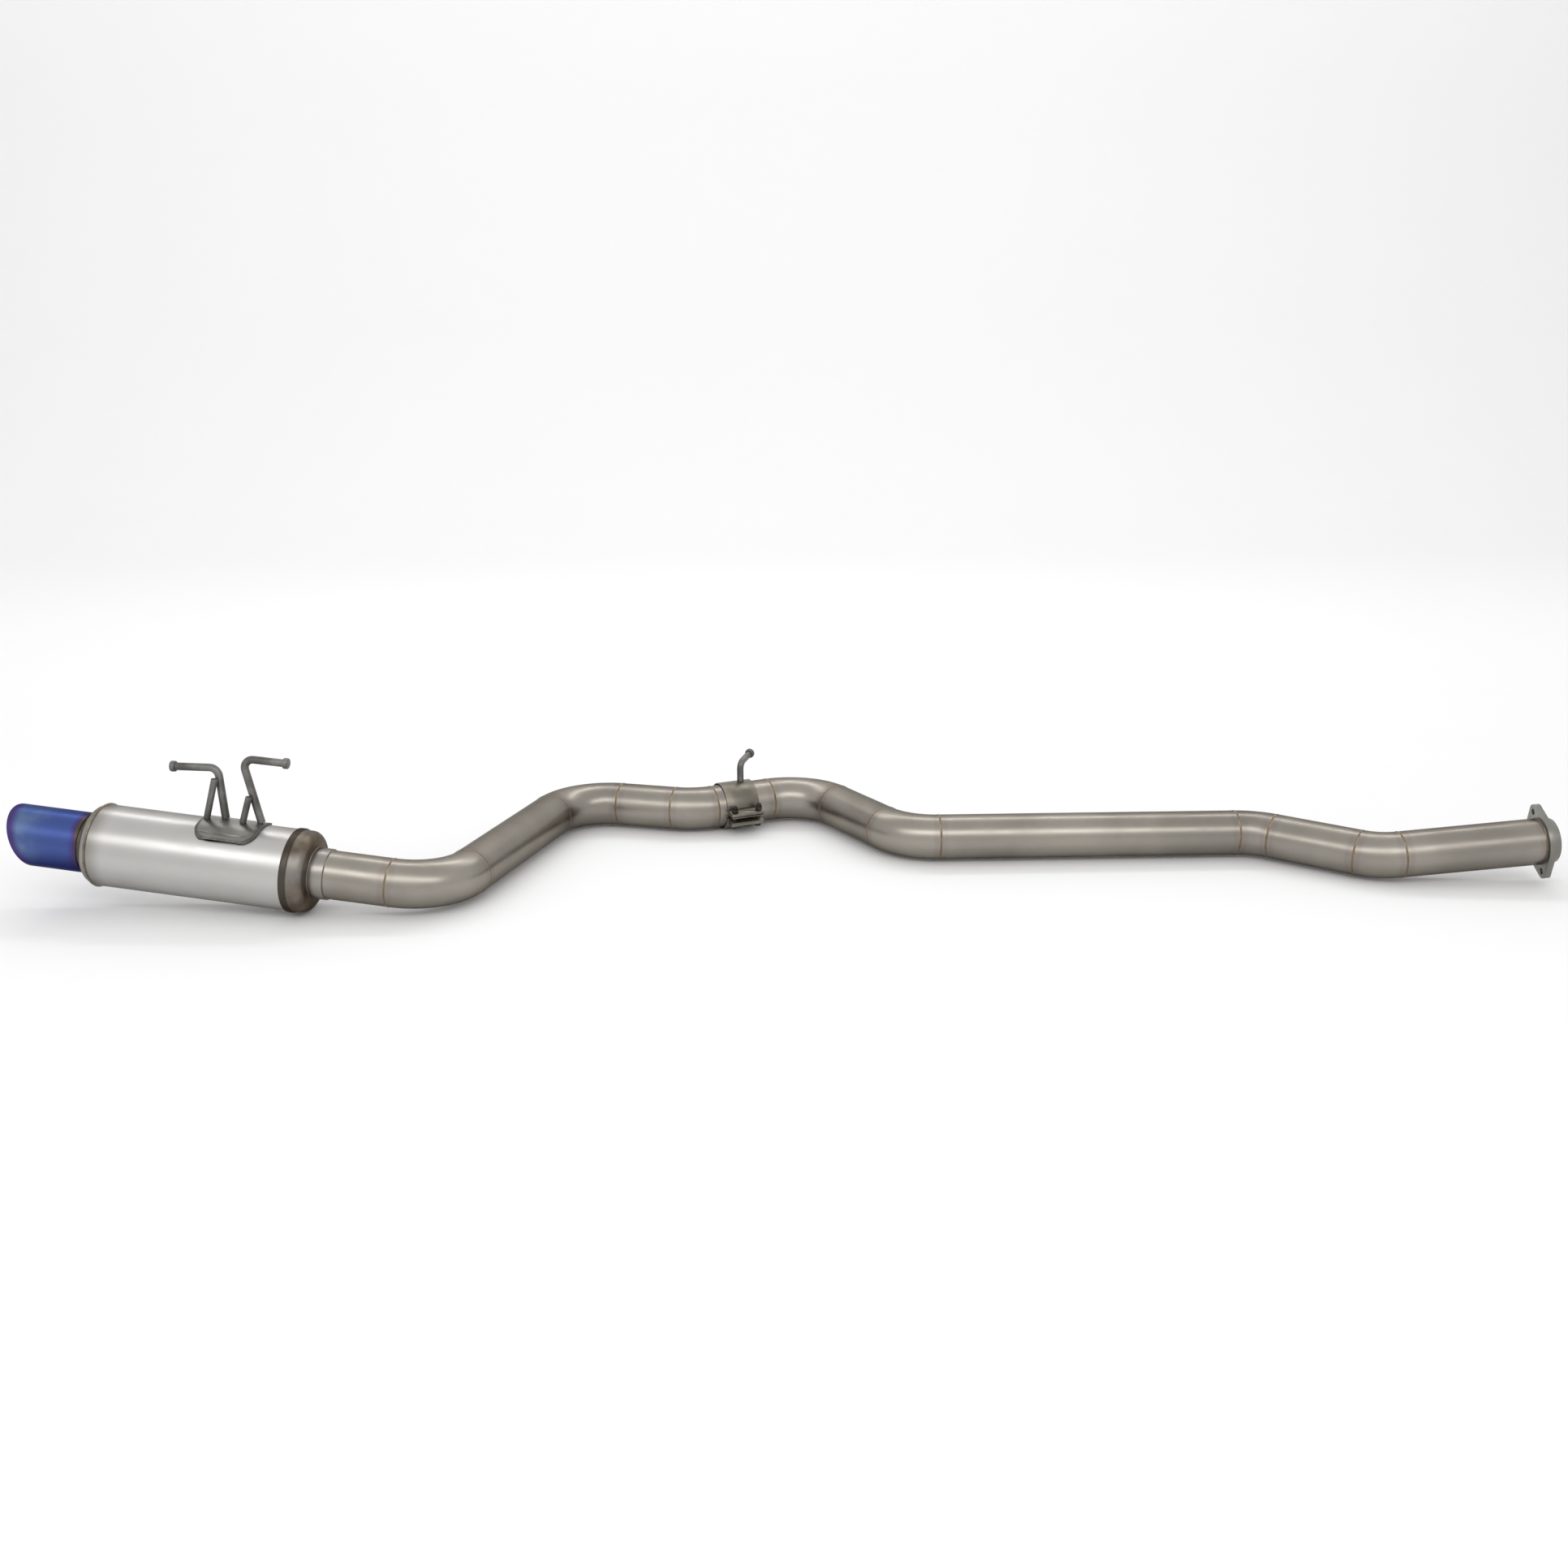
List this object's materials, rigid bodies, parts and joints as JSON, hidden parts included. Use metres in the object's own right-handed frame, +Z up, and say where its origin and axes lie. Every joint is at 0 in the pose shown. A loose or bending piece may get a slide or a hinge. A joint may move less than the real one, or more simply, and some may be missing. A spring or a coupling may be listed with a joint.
{
  "type": "racing exhaust system",
  "caption": "Single-exit stainless racing exhaust: bolted front flange, mandrel-bent piping, slip joint with a band clamp, round straight-through muffler and a burnt-blue slanted tip.",
  "frame": {"origin": "centre of the bounding box in plan, on the plane that the system lies on", "axes": "+X along the car towards the front flange, +Y across the car towards the side on which the slip joint lies, +Z up with the system in its fitted attitude"},
  "size_m": [2.4624, 0.5244, 0.2498],
  "materials": {
    "pipe_steel": "satin stainless pipe, lightly heat tinted",
    "flange_steel": "pale satin stainless",
    "shell_steel": "bright rolled stainless sheet",
    "tinted_steel": "stainless sheet with a brown heat tint",
    "burnt_titanium": "burnt blue titanium with a violet edge",
    "clamp_steel": "dull stainless strip and plate",
    "dark_fastener": "dark phosphated steel",
    "hanger_rod": "dark bare rod steel",
    "steel_wool": "matted steel wool",
    "glass_fibre": "cream glass-fibre packing"
  },
  "bodies": {
    "mid_section": {"inlet_flange": "flange_steel", "gasket_ring": "flange_steel", "front_pipe": "pipe_steel", "front_bend": "pipe_steel", "link_pipe": "pipe_steel", "tunnel_bend": "pipe_steel", "tunnel_pipe": "pipe_steel", "riser_bend": "pipe_steel", "riser_pipe": "pipe_steel", "axle_bend": "pipe_steel", "slip_spigot": "pipe_steel"},
    "clamp": {"clamp_band": "clamp_steel", "clamp_bar_upper": "clamp_steel", "clamp_bar_lower": "clamp_steel", "clamp_bolt_1": "dark_fastener", "clamp_bolt_2": "dark_fastener", "clamp_nut_1": "dark_fastener", "clamp_nut_2": "dark_fastener", "clamp_hanger_rod": "hanger_rod"},
    "rear_section": {"slip_socket": "pipe_steel", "kick_bend": "pipe_steel", "kick_pipe": "pipe_steel", "cross_bend": "pipe_steel", "cross_pipe": "pipe_steel", "muffler_bend": "pipe_steel", "muffler_inlet_pipe": "pipe_steel", "inlet_collar": "flange_steel", "inlet_cap": "tinted_steel", "muffler_shell": "shell_steel", "outlet_cap": "shell_steel", "perforated_core": "flange_steel", "steel_wool_wrap": "steel_wool", "glass_packing": "glass_fibre", "outlet_neck": "tinted_steel", "exhaust_tip": "burnt_titanium", "hanger_saddle": "clamp_steel", "rear_hanger_rod": "hanger_rod", "front_hanger_rod": "hanger_rod", "rear_hanger_brace": "hanger_rod", "front_hanger_brace": "hanger_rod"}
  },
  "joints": [
    {"name": "slip_slide", "type": "slide", "parent": "mid_section", "child": "clamp", "axis": [-0.9272, -0.3746, 0], "range_m": [-0.01, 0.01]},
    {"name": "slip_turn", "type": "hinge", "parent": "clamp", "child": "rear_section", "pos_m": [-0.10575, 0.19247, 0.042], "axis": [-0.9272, -0.3746, 0], "range_deg": [-10, 10]}
  ]
}
